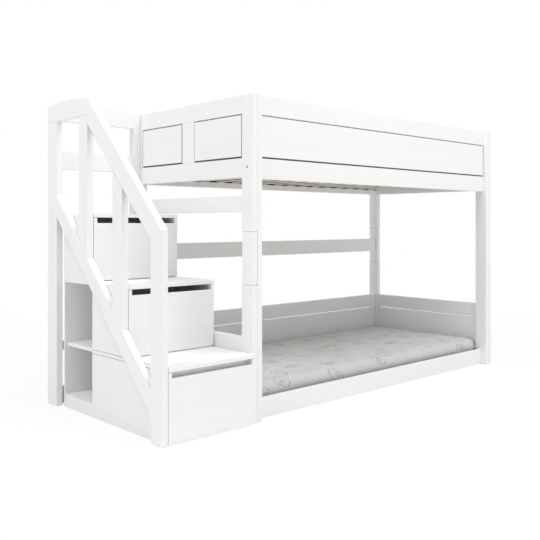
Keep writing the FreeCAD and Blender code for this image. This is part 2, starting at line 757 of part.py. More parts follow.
# ---------------------------------------------------------------- frame behind the stairs
BACK_RAIL = (S.bed_depth - S.back_rail_recess - S.back_rail_thick, S.bed_depth - S.back_rail_recess)
BACK_STILE = (CASE_RIGHT - S.back_stile_width, CASE_RIGHT)
BACK_SPAN = (RAIL_INNER, BACK_STILE[0])
node(plate("back_arch_rail", "XZ", [
    (BACK_SPAN[0], S.back_arch_bottom), (BACK_SPAN[1], S.back_arch_bottom),
    (BACK_SPAN[1], S.back_arch_end),
    Crest((BACK_SPAN[0] + BACK_SPAN[1]) / 2, S.back_arch_crest), (BACK_SPAN[0], S.back_arch_end)],
    BACK_RAIL, S.frame_round))
node(board("back_mid_rail", BACK_SPAN, BACK_RAIL,
           (S.back_mid_bottom, S.back_mid_bottom + S.back_mid_height), S.frame_round))
group("back_low_rails", [
    board("back_low_rail", BACK_SPAN, BACK_RAIL,
          (S.back_low_bottom, S.back_low_bottom + S.back_low_height), S.frame_round),
    board("back_foot_rail", BACK_SPAN, BACK_RAIL,
          (S.low_lift, S.low_lift + S.back_foot_height), S.frame_round)])
node(board("back_stile", BACK_STILE, (BACK_RAIL[0], BACK_RAIL[0] + S.back_stile_thick),
           (S.foot_height, S.back_arch_end), S.frame_round))


# ---------------------------------------------------------------- feet
def foot(label, x, y):
    """A round glide under a post."""
    glide = doc.addObject("Part::Cylinder", label)
    glide.setExpression("Radius", S.foot_radius.text)
    glide.setExpression("Height", S.foot_height.text)
    put(glide, x, y, length(0))
    return glide


rail_middle = (RAIL[0] + RAIL[1]) / 2
group("glides", [
    foot("glide_newel", rail_middle, (NEWEL[0] + NEWEL[1]) / 2),
    foot("glide_rear_front", rail_middle, REAR_POST[0] + S.rear_post_width / 4),
    foot("glide_rear_back", rail_middle, REAR_POST[1] - S.rear_post_width / 4),
    foot("glide_stile", (BACK_STILE[0] + BACK_STILE[1]) / 2,
         BACK_RAIL[0] + S.back_stile_thick / 2)])

# ---------------------------------------------------------------- check and export
doc.recompute()
faults = [f"{thing.Label}: {thing.State}" for thing in doc.Objects
          if "Invalid" in thing.State or "Error" in thing.State]
faults += [f"{thing.Label}: no valid shape" for thing in nodes
           if thing.Shape.isNull() or not thing.Shape.isValid()]
if faults:
    raise RuntimeError("; ".join(faults))
os.makedirs("parts", exist_ok=True)
for thing in nodes:
    thing.Shape.exportStep(f"parts/{thing.Label}.step")
print(f"{len(nodes)} nodes, {sum(len(thing.Shape.Solids) for thing in nodes)} solids")
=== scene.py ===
# %% [markdown]
# # A white bunk bed with storage stairs
#
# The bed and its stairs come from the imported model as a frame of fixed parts, already at their real
# size. This script gives every part its finish, replaces the two plain mattress blocks with soft
# ones, and sets up a studio with a camera. Lengths are in metres, +Z is up, the stairs are at -X
# and the wall side is +Y.

# %% Load the frame and keep its box
import json
import math

import bpy
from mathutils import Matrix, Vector, noise


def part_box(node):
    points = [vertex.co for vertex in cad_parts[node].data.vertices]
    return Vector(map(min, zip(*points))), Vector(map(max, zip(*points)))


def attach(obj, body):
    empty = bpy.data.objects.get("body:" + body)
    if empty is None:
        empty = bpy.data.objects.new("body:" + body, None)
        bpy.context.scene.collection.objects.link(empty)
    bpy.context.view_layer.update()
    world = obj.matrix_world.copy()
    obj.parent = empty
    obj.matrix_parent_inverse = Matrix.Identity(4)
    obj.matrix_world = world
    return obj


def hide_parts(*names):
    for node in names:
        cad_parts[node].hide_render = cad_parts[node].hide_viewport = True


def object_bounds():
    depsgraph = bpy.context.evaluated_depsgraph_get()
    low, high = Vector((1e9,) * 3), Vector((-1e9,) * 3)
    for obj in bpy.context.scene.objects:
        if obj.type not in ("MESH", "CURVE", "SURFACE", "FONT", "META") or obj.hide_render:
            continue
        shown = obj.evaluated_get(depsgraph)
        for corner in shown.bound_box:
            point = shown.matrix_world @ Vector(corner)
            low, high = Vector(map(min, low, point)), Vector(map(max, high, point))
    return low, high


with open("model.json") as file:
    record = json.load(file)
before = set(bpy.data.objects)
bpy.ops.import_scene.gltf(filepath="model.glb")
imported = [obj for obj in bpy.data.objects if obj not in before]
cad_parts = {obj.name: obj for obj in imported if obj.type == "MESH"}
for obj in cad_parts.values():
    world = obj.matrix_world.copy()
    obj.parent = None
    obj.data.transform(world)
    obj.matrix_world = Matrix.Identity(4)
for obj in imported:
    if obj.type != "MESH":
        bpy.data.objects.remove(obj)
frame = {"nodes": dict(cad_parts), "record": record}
nodes = frame["nodes"]
cad_box = [list(corner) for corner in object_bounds()]
low, high = [Vector(corner) for corner in cad_box]
print("frame:", len(nodes), "parts,", [round(side, 3) for side in high - low], "m")

# %% [markdown]
# ## The camera
#
# A product photograph of furniture is taken level, so that posts stay upright, and the picture is
# then cropped round the object. A level camera with a little shift does the same. Its place is
# measured from the near left post, because that corner is the one nearest to the lens.

# %% Place the camera
PHOTO_SIDE = 540
FOCAL_PIXELS = 725.1
OPTICAL_AXIS = (297.2, 223.2)
NEAR_POST_TO_CAMERA = Vector((-2.1838, -2.5472, 0.9266))
CAMERA_HEADING = math.radians(45.875)

near_post = Vector(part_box("left_lower_posts")[0])
camera_data = bpy.data.cameras.new("camera")
camera = bpy.data.objects.new("camera", camera_data)
bpy.context.scene.collection.objects.link(camera)
bpy.context.scene.camera = camera
camera.location = Vector((near_post.x, near_post.y, 0)) + NEAR_POST_TO_CAMERA
camera.rotation_euler = (math.radians(90), 0, CAMERA_HEADING - math.radians(90))
camera_data.sensor_width = 36
camera_data.lens = FOCAL_PIXELS / PHOTO_SIDE * camera_data.sensor_width
frame_middle = PHOTO_SIDE / 2
camera_data.shift_x = (frame_middle - OPTICAL_AXIS[0]) / PHOTO_SIDE
camera_data.shift_y = (OPTICAL_AXIS[1] - frame_middle) / PHOTO_SIDE
print("camera:", [round(v, 3) for v in camera.location], "lens", round(camera_data.lens, 2), "mm")

# %% [markdown]
# ## Shader maths
#
# A finish is easier to read as arithmetic than as a web of nodes. A `Wire` is the output of one
# node, and Python's operators on it add Math nodes. A `Finish` is one material: its `node` method
# makes any node, sets its options first and then feeds its sockets with numbers or wires.


# %% A wire and a finish
class Wire:
    """The output of one node. Sums, differences and products of wires add Math nodes."""

    def __init__(self, finish, socket):
        self.finish = finish
        self.socket = socket

    def __add__(self, other):
        return self.finish.maths("ADD", self, other)

    def __radd__(self, other):
        return self.finish.maths("ADD", other, self)

    def __sub__(self, other):
        return self.finish.maths("SUBTRACT", self, other)

    def __rsub__(self, other):
        return self.finish.maths("SUBTRACT", other, self)

    def __mul__(self, other):
        return self.finish.maths("MULTIPLY", self, other)

    def __rmul__(self, other):
        return self.finish.maths("MULTIPLY", other, self)

    def __truediv__(self, other):
        return self.finish.maths("DIVIDE", self, other)


class Finish:
    """A material that is built up by calls. Its shader's sockets are fed with `feed`."""

    def __init__(self, name):
        self.material = bpy.data.materials.new(name)
        self.material.use_nodes = True
        self.tree = self.material.node_tree
        self.shader = self.tree.nodes["Principled BSDF"]
        self.place = self.node("TexCoord", output="Object")

    def node(self, kind, options=None, inputs=None, output=0):
        """A new node: its options are set first, then its inputs are fed by name or number."""
        made = self.tree.nodes.new("ShaderNode" + kind)
        for name, value in (options or {}).items():
            if name == "stops":
                for element, (position, colour) in zip(made.color_ramp.elements, value):
                    element.position, element.color = position, colour
            else:
                setattr(made, name, value)
        for key, value in (inputs or {}).items():
            self.connect(self.pick(made.inputs, key), value)
        return Wire(self, self.pick(made.outputs, output))

    def pick(self, sockets, key):
        """A socket by its number, its name or its identifier."""
        if isinstance(key, int):
            return sockets[key]
        return next(s for s in sockets if key in (s.identifier, s.name))

    def connect(self, socket, value):
        """A wire is linked, a number or a colour is set."""
        if isinstance(value, Wire):
            self.tree.links.new(value.socket, socket)
        else:
            socket.default_value = value

    def coordinate(self, axis):
        """How far along the object's X, Y or Z a point lies, in metres."""
        return self.node("SeparateXYZ", {}, {0: self.place}, axis)

    def facing(self, axis):
        """How much a face looks along X, Y or Z, from -1 to 1."""
        normal = self.node("NewGeometry", output="Normal")
        return self.node("SeparateXYZ", {}, {0: normal}, axis)

    def maths(self, operation, *values):
        """A Math node on wires and numbers."""
        return self.node("Math", {"operation": operation}, dict(enumerate(values)))

    def between(self, value, start, end, low=0.0, high=1.0):
        """A smooth step: low before start, high after end."""
        return self.node("MapRange", {"interpolation_type": "SMOOTHSTEP"},
                         {0: value, 1: start, 2: end, 3: low, 4: high})

    def mix(self, factor, first, second):
        """A blend of two colours."""
        return self.node("Mix", {"data_type": "RGBA"},
                         {"Factor_Float": factor, "A_Color": first, "B_Color": second},
                         "Result_Color")

    def turned(self, scale=(1, 1, 1), angles=(0, 0, 0), move=(0, 0, 0)):
        """The object's coordinates, turned and then stretched."""
        turned = self.node("Mapping", {"vector_type": "POINT"},
                           {"Vector": self.place, "Rotation": angles, "Location": move})
        return self.node("VectorMath", {"operation": "MULTIPLY"}, {0: turned, 1: scale})

    def noise(self, vector, scale, detail=2.0, roughness=0.5, distortion=0.0):
        """Noise from 0 to 1; scale counts its bumps in a metre."""
        return self.node("TexNoise", {}, {"Vector": vector, "Scale": scale, "Detail": detail,
                                          "Roughness": roughness, "Distortion": distortion})

    def bump(self, height, distance, strength=1.0, under=None):
        """Relief whose height of 1 stands this many metres proud."""
        inputs = {"Height": height, "Distance": distance, "Strength": strength}
        if under is not None:
            inputs["Normal"] = under
        return self.node("Bump", {}, inputs)

    def feed(self, **sockets):
        """Feeds the shader: base_color means the socket called Base Color."""
        names = {s.name.lower().replace(" ", "_"): s for s in self.shader.inputs}
        for name, value in sockets.items():
            self.connect(names[name], value)
        return self.material


print("shader maths ready")

# %% [markdown]
# ## White satin paint
#
# The bed is solid wood sprayed white. Up close such paint isn't one flat white: the grain still
# shows as faint lines along each board, the spray leaves a fine orange peel, and the gloss wanders
# a little. The pattern is stretched along the board, so each board is painted with its own
# direction of grain.


# %% Paint with grain along a board
PAINT_LIGHT = (0.875, 0.875, 0.87, 1)
PAINT_DEEP = (0.835, 0.835, 0.828, 1)
GRAIN_STRETCH = 0.06
GRAIN_DIRECTIONS = {
    "x": (GRAIN_STRETCH, 1, 1),
    "y": (1, GRAIN_STRETCH, 1),
    "z": (1, 1, GRAIN_STRETCH),
}


def painted_wood(name, direction, slope=0.0, shade=None):
    """White paint on wood; slope turns the grain in the YZ plane for the sloping rails, and
    shade, where given, is a function that paints shade into the colour in narrow places."""
    finish = Finish(name)
    along = finish.turned(GRAIN_DIRECTIONS[direction], (slope, 0, 0))
    grain = finish.noise(along, 260, 4, 0.6, 0.3)
    broad = finish.noise(along, 22, 2)
    spray = finish.noise(finish.place, 900, 2)
    cloudy = finish.noise(finish.place, 5, 2)
    lines = finish.between(grain, 0.52, 0.75)
    tint = lines * 0.35 + finish.between(broad, 0.35, 0.7) * 0.35 + cloudy * 0.3
    relief = finish.bump(lines, 0.00012, 0.5)
    colour = finish.mix(tint, PAINT_LIGHT, PAINT_DEEP)
    return finish.feed(
        base_color=shade(finish, colour) if shade else colour,
        roughness=0.4 + cloudy * 0.1 + lines * 0.06,
        specular_ior_level=0.4,
        normal=finish.bump(spray, 0.00004, 0.35, relief),
    )


STAIR_SLOPE = math.radians(-45)
# painted shade: the grey that the downward edges of the sloping rails are darkened to
UNDER_EDGE_SHADE = (0.36, 0.36, 0.355, 1)
LOOKS_DOWN, LOOKS_LEVEL = -0.4, -0.06


def under_shade(finish, colour):
    """Paints shade on the edges of the sloping rails that look down."""
    downward = finish.between(finish.facing("Z"), LOOKS_DOWN, LOOKS_LEVEL, 1.0, 0.0)
    return finish.mix(downward, colour, UNDER_EDGE_SHADE)


paint = {direction: painted_wood("white_paint_" + direction, direction) for direction in "xyz"}
# the sloping rails carry painted shade on their downward edges
paint["slope"] = painted_wood("white_paint_slope", "y", STAIR_SLOPE, shade=under_shade)
print("paints:", sorted(paint))

# %% [markdown]
# Boards that stand up have their grain along Z, the long rails along X, the end rails along Y. The
# list names the boards that lie along X or Y or on the slope, and whatever else is white stands.

# %% Give each white part its paint
ALONG_X = ("guard", "lower_front_rail", "rear_mid_rail", "lower_rear_boards", "ledges", "back_arch",
           "back_mid", "back_low", "tread", "drawer_front")
ALONG_Y = ("end_top_rail", "end_bottom_rail", "end_panels", "end_tie_rail", "lower_left_boards",
           "lower_right_boards", "case_panels", "stair_arch_rail")
SLOPING = ("handrail", "stringer")


def grain_of(name):
    """Which way the grain of a white part runs."""
    for direction, marks in (("slope", SLOPING), ("x", ALONG_X), ("y", ALONG_Y)):
        if any(mark in name for mark in marks):
            return direction
    return "z"


def dress(name, material):
    """Gives a part of the frame one finish."""
    slots = nodes[name].data.materials
    slots.clear()
    slots.append(material)


# %% [markdown]
# The inset panels sit in grooves, and a photograph shows these as thin grey lines, the lower ones
# darkest. The soft light of this studio fills such narrow places, so a darker tint stands in for
# the missing shade. Object coordinates find the place: a point of a panel that lies deeper than its
# faces is in a groove. A tint is a function that takes a finish and its colour and gives the
# darkened colour back, so any paint can carry one.

# %% Painted shade for the grooves
# painted shade: the colours of the lower grooves and of the upper ones
GROOVE_SHADE_BELOW = (0.16, 0.16, 0.158, 1)
GROOVE_SHADE_ABOVE = (0.36, 0.36, 0.355, 1)
GROOVE_DEPTH = 0.0012
BELOW_REACH = 0.04


def groove_shade(name, axis):
    """Paints shade into the grooves round the panels of one node; axis runs across the panel."""
    corner_low, corner_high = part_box(name)
    letter = "XYZ".index(axis)
    middle = (corner_low[letter] + corner_high[letter]) / 2
    half = (corner_high[letter] - corner_low[letter]) / 2
    above_from, above_to = corner_low.z + BELOW_REACH / 2, corner_low.z + BELOW_REACH

    def shade(finish, colour):
        off_middle = finish.maths("ABSOLUTE", finish.coordinate(axis) - middle)
        deep = finish.between(off_middle, half - GROOVE_DEPTH, half - GROOVE_DEPTH / 2, 1.0, 0.0)
        above = finish.between(finish.coordinate("Z"), above_from, above_to)
        return finish.mix(deep, colour, finish.mix(above, GROOVE_SHADE_BELOW, GROOVE_SHADE_ABOVE))

    return shade


# painted shade in the grooves of these four panels
panels = {name: groove_shade(name, axis) for name, axis in (
    ("front_guard_panel", "Y"), ("rear_guard_panel", "Y"),
    ("left_end_panels", "X"), ("right_end_panels", "X"))}
print("grooves on", sorted(panels))

# %% [markdown]
# The upper slats lie side by side with slots between them. The slots end at the rear guard's lowest
# rail and at the ledges under the slats, and both get painted shade there, near black: the ledges
# along their top edge and more between the slats than under them. The slats are spread evenly over
# the clear length of the bed, which is that of the rear guard's panel. A place along the bed is
# counted in slats, and its fraction says whether a slat or a slot is there.

# %% Painted shade beside the upper slats
SLAT_COUNT = 17
SLAT_EDGE = (0.25, 0.28)
# painted shade: the near-black colour of the slots, on the rail and along the ledges
SLOT_SHADE_COLOUR = (0.04, 0.038, 0.035, 1)
SLOT_REACH = 0.001
SLOT_BLUR = 0.002
LEDGE_SHADE_DEPTH = 0.0075
LEDGE_SHARP = 0.8
UNDER_SLAT_SHADE = 0.5

slats_low, slats_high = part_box("upper_slats")
clear_from, clear_to = [corner.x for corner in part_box("rear_guard_panel")]
slat_pitch = (clear_to - clear_from) / SLAT_COUNT


def slot_shade(face):
    """Paints shade on a rail's face at Y = face between the underside and the top of the upper slats.
    """

    def shade(finish, colour):
        across, height = finish.coordinate("Y"), finish.coordinate("Z")
        dark = (finish.between(across, face + SLOT_REACH / 2, face + SLOT_REACH, 1.0, 0.0)
                * finish.between(height, slats_low.z - SLOT_BLUR, slats_low.z)
                * finish.between(height, slats_high.z, slats_high.z + SLOT_BLUR, 1.0, 0.0))
        return finish.mix(dark, colour, SLOT_SHADE_COLOUR)

    return shade


def ledge_shade(top):
    """Paints shade on the top edge of the ledges, wholly between the slats and partly under them."""

    def shade(finish, colour):
        slats = (finish.coordinate("X") - clear_from) / slat_pitch
        off_slat = finish.maths("ABSOLUTE", finish.maths("FRACT", slats) - 0.5)
        slot = finish.between(off_slat, *SLAT_EDGE)
        near_top = finish.between(finish.coordinate("Z"), top - LEDGE_SHADE_DEPTH,
                                  top - LEDGE_SHADE_DEPTH * LEDGE_SHARP)
        return finish.mix(near_top * (UNDER_SLAT_SHADE + slot * (1 - UNDER_SLAT_SHADE)), colour, SLOT_SHADE_COLOUR)

    return shade


print("slats every", round(slat_pitch * 1000), "mm")

# %% [markdown]
# The side of the stair case shows two fine level joints, below and above the lowest tread. The
# boards touch there without a gap, and the shade in each joint is painted as a thin dark line on the
# outer face.

# %% Painted shade for the joints of the stair case
# painted shade in the two joints of the stair case
SEAM_HALF = 0.0008
SEAM_BLUR = 1.4
SEAM_REACH = (0.002, 0.003)
SEAM_SHADE_COLOUR = (0.10, 0.10, 0.098, 1)

tread_low, tread_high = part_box("lower_tread")


def seam_shade(finish, colour):
    """Paints shade as two thin level lines on the outer face of the stair case."""
    height, across = finish.coordinate("Z"), finish.coordinate("X")
    below, above = [finish.between(finish.maths("ABSOLUTE", height - seam), SEAM_HALF,
                                   SEAM_HALF * SEAM_BLUR, 1.0, 0.0)
                    for seam in (tread_low.z, tread_high.z)]
    outer = finish.between(across, *[tread_low.x + reach for reach in SEAM_REACH], 1.0, 0.0)
    return finish.mix((below + above) * outer, colour, SEAM_SHADE_COLOUR)


print("joints at", [round(height * 1000) for height in (tread_low.z, tread_high.z)], "mm")

# %% Paint that carries painted shade
# each of these parts gets painted shade in its white paint
painted_shades = dict(panels)
painted_shades.update({name: seam_shade for name in ("lower_tread", "lower_case_panels",
                                            "middle_case_panels")})
painted_shades["rear_guard_bottom_rail"] = slot_shade(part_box("rear_guard_bottom_rail")[0].y)
painted_shades["upper_slat_ledges"] = ledge_shade(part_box("upper_slat_ledges")[1].z)
shaded_paint = {name: painted_wood("white_" + name, grain_of(name), shade=shade)
                for name, shade in painted_shades.items()}
print("tints on", len(shaded_paint), "parts")

# %% Dress the white parts
slot_of = {part["node"]: part["material_slot"] for part in frame["record"]["subparts"]}
white_parts = [name for name in nodes if slot_of[name] == "white_painted_wood"]
for name in white_parts:
    dress(name, shaded_paint.get(name, paint[grain_of(name)]))
print("painted", len(white_parts), "parts")

# %% [markdown]
# ## Bare softwood slats
#
# The slats are planed pine without paint. Pine has light early wood and darker late wood in long
# bands, and each slat was cut from another place in the tree, so the bands start anew on every
# slat: the number of the slat, counted along the bed, shifts the pattern.


# %% Pine for the slats
PINE_LIGHT = (0.93, 0.85, 0.75, 1)
PINE_DARK = (0.80, 0.69, 0.56, 1)
# painted shade: the near-black colour of the slats' sides
PINE_SIDE_SHADE = (0.10, 0.078, 0.055, 1)


def pine(name, pitch, start):
    """Planed pine with bands along Y, new on every slat from start on, and painted shade on the
    sides.
    """
    finish = Finish(name)
    number = finish.maths("FLOOR", (finish.coordinate("X") - start) / pitch)
    fresh = finish.node("TexWhiteNoise", {"noise_dimensions": "1D"}, {"W": number}, "Value")
    moved = finish.node("CombineXYZ", {}, {"X": fresh * 3.0, "Y": fresh * 7.0, "Z": fresh * 0.4})
    place = finish.node("VectorMath", {"operation": "ADD"}, {0: finish.place, 1: moved})
    along = finish.node("VectorMath", {"operation": "MULTIPLY"}, {0: place, 1: (1, 0.05, 1)})
    bands = finish.node("TexWave", {"wave_type": "RINGS", "rings_direction": "Y"},
                        {"Vector": along, "Scale": 26, "Distortion": 5.0, "Detail": 3.0,
                         "Detail Scale": 1.4}, "Fac")
    fibre = finish.noise(along, 420, 4, 0.65)
    late = finish.between(bands, 0.45, 0.95)
    tint = late * 0.5 + fibre * 0.2 + fresh * 0.3
    sideways = finish.maths("ABSOLUTE", finish.facing("X"))
    # painted shade on the faces that look along X
    sawn = finish.between(sideways, 0.55, 0.8) * (0.85 + fibre * 0.15)
    planed = finish.mix(tint, PINE_LIGHT, PINE_DARK)
    return finish.feed(
        base_color=finish.mix(sawn, planed, PINE_SIDE_SHADE),
        roughness=0.62 - late * 0.12,
        normal=finish.bump(fibre + late * 0.5, 0.0002, 0.5),
    )


slat_pine = pine("slat_pine", slat_pitch, clear_from)
for name in ("upper_slats", "lower_slats"):
    dress(name, slat_pine)
print("pine on", 2 * SLAT_COUNT, "slats")

# %% [markdown]
# ## Plywood drawer boxes
#
# The boxes behind the drawer fronts are thin birch plywood. It shows a pale, quiet face with short
# flecks, and on its sawn edges the plies as fine stripes. The stripes need no new mesh: a band
# pattern on Z, kept to the faces that look up, does it.


# %% Birch plywood
BIRCH = (0.72, 0.60, 0.44, 1)
BIRCH_FLECK = (0.56, 0.42, 0.27, 1)
PLY = 0.0015


def plywood(name):
    """Birch plywood: flecked faces, and plies on the upward edges."""
    finish = Finish(name)
    along = finish.turned((1, 0.08, 0.6))
    fleck = finish.between(finish.noise(along, 160, 4, 0.6), 0.5, 0.72)
    cloudy = finish.noise(along, 14, 2)
    upward = finish.between(finish.facing("Z"), 0.7, 0.9)
    plies = finish.maths("PINGPONG", finish.coordinate("X") + finish.coordinate("Y"), PLY) / PLY
    tint = fleck * 0.35 + cloudy * 0.25 + upward * plies * 0.6
    return finish.feed(
        base_color=finish.mix(tint, BIRCH, BIRCH_FLECK),
        roughness=0.45 + fleck * 0.1,
        normal=finish.bump(fleck, 0.0001, 0.4),
    )


birch = plywood("birch_plywood")
boxes = [name for name in nodes if slot_of[name] == "drawer_box_wood"]
for name in boxes:
    dress(name, birch)
print("plywood on", boxes)

# %% [markdown]
# ## Small hardware
#
# Three small finishes: zinc plated bolts with fine turning marks, powder coated runners with a
# sandy skin, and moulded plastic glides.


# %% Zinc, powder coat and plastic
def zinc(name):
    """Zinc plated steel with a fine, uneven shine."""
    finish = Finish(name)
    cloudy = finish.noise(finish.place, 400, 3)
    return finish.feed(base_color=finish.mix(cloudy, (0.60, 0.61, 0.62, 1), (0.42, 0.43, 0.45, 1)),
                       metallic=1.0, roughness=0.3 + cloudy * 0.2,
                       normal=finish.bump(finish.noise(finish.place, 3000, 2), 0.00003, 0.4))


def powder_coat(name):
    """Pale powder coat with a sandy skin."""
    finish = Finish(name)
    sand = finish.noise(finish.place, 1400, 2)
    return finish.feed(base_color=finish.mix(sand, (0.74, 0.74, 0.73, 1), (0.66, 0.66, 0.65, 1)),
                       roughness=0.5 + sand * 0.15, normal=finish.bump(sand, 0.00006, 0.6))


def moulded(name):
    """Pale moulded plastic with a fine spark-eroded skin."""
    finish = Finish(name)
    skin = finish.noise(finish.place, 2200, 2)
    return finish.feed(base_color=finish.mix(skin, (0.72, 0.72, 0.71, 1), (0.65, 0.65, 0.64, 1)),
                       roughness=0.55 + skin * 0.1, normal=finish.bump(skin, 0.00003, 0.5))


dress("frame_bolts", zinc("zinc_plate"))
dress("drawer_runners", powder_coat("powder_coat"))
dress("glides", moulded("glide_plastic"))
print("hardware done")

# %% [markdown]
# ## The mattress cover
#
# The cover is a pale grey woven cotton with a faint pencil-grey print of scattered pebble rings.
# Woven cloth is two sets of threads that pass over and under, so its relief is the product of two
# sine waves. The print is a cell pattern: each cell keeps one motif near its middle, drawn as
# uneven rings that fade in and out like pencil.


# %% Woven cover with a pebble print
COVER_LIGHT = (0.63, 0.63, 0.625, 1)
COVER_SHADE = (0.51, 0.51, 0.505, 1)
PENCIL = (0.27, 0.27, 0.268, 1)
THREAD = 0.0014
MOTIF_CELLS = 5.2
RING_WIDTH = 0.014
MOTIF_REACH = 0.052
HATCH_TURN = 2 * math.pi / 0.011
HATCH_LEAN = 0.6
FOLD_HEIGHT = 0.028


def mattress_cover(name):
    """Woven cotton with hand-drawn rings."""
    finish = Finish(name)
    x, y = finish.coordinate("X"), finish.coordinate("Y")
    turn = 2 * math.pi / THREAD
    warp = finish.maths("SINE", x * turn)
    weft = finish.maths("SINE", y * turn)
    weave = warp * weft * 0.5 + 0.5
    shaky = finish.noise(finish.place, 26, 3)
    wander = finish.node("VectorMath", {"operation": "SCALE"},
                         {0: finish.node("TexNoise", {}, {"Vector": finish.place, "Scale": 18.0},
                                         "Color"), "Scale": 0.02})
    drawn = finish.node("VectorMath", {"operation": "ADD"}, {0: finish.place, 1: wander})
    part = {axis: finish.node("SeparateXYZ", {}, {0: drawn}, axis) for axis in "XYZ"}
    flat = finish.node("CombineXYZ", {}, {"X": part["X"] + part["Z"], "Y": part["Y"] + part["Z"]})
    cell = finish.node("TexVoronoi", {"voronoi_dimensions": "2D", "feature": "F1"},
                       {"Vector": flat, "Scale": MOTIF_CELLS, "Randomness": 0.8}, "Distance")
    reach = cell / MOTIF_CELLS
    ring = finish.maths("PINGPONG", reach, RING_WIDTH) / RING_WIDTH
    line = finish.between(ring, 0.66, 0.86) * finish.between(reach, MOTIF_REACH, 0.044)
    hatch = finish.between(finish.maths("SINE", (x + y * HATCH_LEAN) * HATCH_TURN), 0.1, 0.6)
    hatched = hatch * finish.between(reach, 0.046, 0.04) * finish.between(shaky, 0.5, 0.58)
    pencil = finish.maths("MAXIMUM", line * finish.between(shaky, 0.36, 0.52), hatched)
    cloudy = finish.noise(finish.place, 9, 3)
    cloth = finish.mix(cloudy * 0.6 + weave * 0.3, COVER_LIGHT, COVER_SHADE)
    crease = finish.noise(finish.turned((0.22, 1, 1)), 16, 2, 0.45, 0.6)
    upward = finish.between(finish.facing("Z"), 0.5, 0.95)
    folds = finish.bump((crease - 0.5) * upward, FOLD_HEIGHT, 1.0)
    return finish.feed(
        base_color=finish.mix(pencil * 0.7, cloth, PENCIL),
        roughness=0.86 - weave * 0.08,
        sheen_weight=0.15,
        specular_ior_level=0.25,
        normal=finish.bump(weave, 0.00018, 0.5, folds),
    )


cover = mattress_cover("mattress_cover")
print("cover ready")

# %% [markdown]
# ## Two soft mattresses
#
# A foam mattress in a cotton cover is a block with soft edges whose cloth is a little too large for
# it. It starts as a cube cut to size, its upright edges rounded to clear the bed's legs, then it is
# remeshed evenly and blown up slightly as cloth, which rounds the edges and puckers the cover. How
# far each point may move is capped, so the mattress stays in its frame.

# %% Cut the foam block
VOXEL = 0.014
CORNER_RADIUS = 0.070
EDGE_RADIUS = 0.032
FOAM_INSET = 0.003
SWELL_CAP = 0.007
SWELL_FRAMES = 14
LEVEL_WITHIN = 0.01


def deselect_all():
    """Operators act on what is selected, so nothing may be."""
    bpy.ops.object.select_all(action="DESELECT")


def only(piece):
    """Makes one piece selected and active."""
    deselect_all()
    piece.select_set(True)
    bpy.context.view_layer.objects.active = piece


def apply_modifier(piece, kind, **settings):
    """Adds a modifier, sets it and applies it at once."""
    only(piece)
    modifier = piece.modifiers.new(kind.lower(), kind)
    for name, value in settings.items():
        setattr(modifier, name, value)
    bpy.ops.object.modifier_apply(modifier=modifier.name)


def upright_edges(piece):
    """Selects the four edges that stand up."""
    bpy.ops.mesh.select_all(action="DESELECT")
    bpy.ops.object.mode_set(mode="OBJECT")
    for edge in piece.data.edges:
        start, end = [piece.data.vertices[i].co for i in edge.vertices]
        edge.select = abs(start.z - end.z) > LEVEL_WITHIN
    bpy.ops.object.mode_set(mode="EDIT")


def foam_block(name, corner_low, corner_high):
    """A block of foam, a little smaller than its cover, with rounded corners and edges."""
    size = corner_high - corner_low - Vector((FOAM_INSET,) * 3) * 2
    deselect_all()
    bpy.ops.mesh.primitive_cube_add(size=1, location=(corner_low + corner_high) / 2)
    piece = bpy.context.active_object
    piece.name = name
    piece.data.name = name
    piece.scale = size
    bpy.ops.object.transform_apply(location=True, rotation=True, scale=True)
    bpy.ops.object.mode_set(mode="EDIT")
    bpy.ops.mesh.select_mode(type="EDGE")
    upright_edges(piece)
    bpy.ops.mesh.bevel(offset=CORNER_RADIUS, segments=10)
    bpy.ops.object.mode_set(mode="OBJECT")
    apply_modifier(piece, "BEVEL", width=EDGE_RADIUS, segments=5, limit_method="ANGLE",
                   angle_limit=math.radians(60))
    apply_modifier(piece, "REMESH", mode="VOXEL", voxel_size=VOXEL)
    return piece


block_low, block_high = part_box("lower_mattress")
print("mattress block:", [round(side, 3) for side in block_high - block_low], "m")

# %% [markdown]
# The cloth pushes outwards with a little pressure and no gravity. The last step holds each point
# near where it began, presses the underside flat on its slats, and gives the top its crown and
# its long wrinkles.

# %% Blow up the cover
CROWN = 0.010
CROWN_SINK = 0.6
UNDERSIDE_GAP = 0.0005
CREASE_HEIGHT = 0.0035
FOOT_TUCK = 0.012
WRINKLE_HEIGHT = 0.014
WRINKLE_BEND = 0.10
WRINKLES_IN_METRE = 17
SIDE_DRAW = 0.004


def wrinkle(x, y):
    """Height of the cover's wrinkles: long soft ridges along the bed that bend, come and go."""
    bend = WRINKLE_BEND * noise.noise(Vector((x * 1.4, y * 1.4, 4.0)))
    ridge = 1 - 2 * abs(noise.noise(Vector((x * 2.4, (y + bend) * WRINKLES_IN_METRE, 9.0))))
    share = 0.5 + noise.noise(Vector((x * 2.1, y * 2.8, 17.0)))
    return WRINKLE_HEIGHT * (ridge - 0.75) * min(1, max(0.15, share))


def swell(piece):
    """Runs the cover as cloth under pressure and caps how far each point moves."""
    start = [v.co.copy() for v in piece.data.vertices]
    only(piece)
    cloth = piece.modifiers.new("cloth", "CLOTH")
    cloth.settings.use_pressure = True
    cloth.settings.uniform_pressure_force = 4
    cloth.settings.effector_weights.gravity = 0
    cloth.settings.tension_stiffness = 6
    cloth.settings.compression_stiffness = 6
    cloth.settings.bending_stiffness = 0.4
    cloth.point_cache.frame_end = SWELL_FRAMES
    for step in range(1, SWELL_FRAMES + 1):
        bpy.context.scene.frame_set(step)
    bpy.ops.object.modifier_apply(modifier="cloth")
    bpy.context.scene.frame_set(1)
    moved = 0
    for vertex, first in zip(piece.data.vertices, start):
        step = vertex.co - first
        if step.length > SWELL_CAP:
            step *= SWELL_CAP / step.length
        vertex.co = first + step
        moved = max(moved, step.length)
    print(piece.name, "swelled by", round(moved * 1000, 1), "mm")


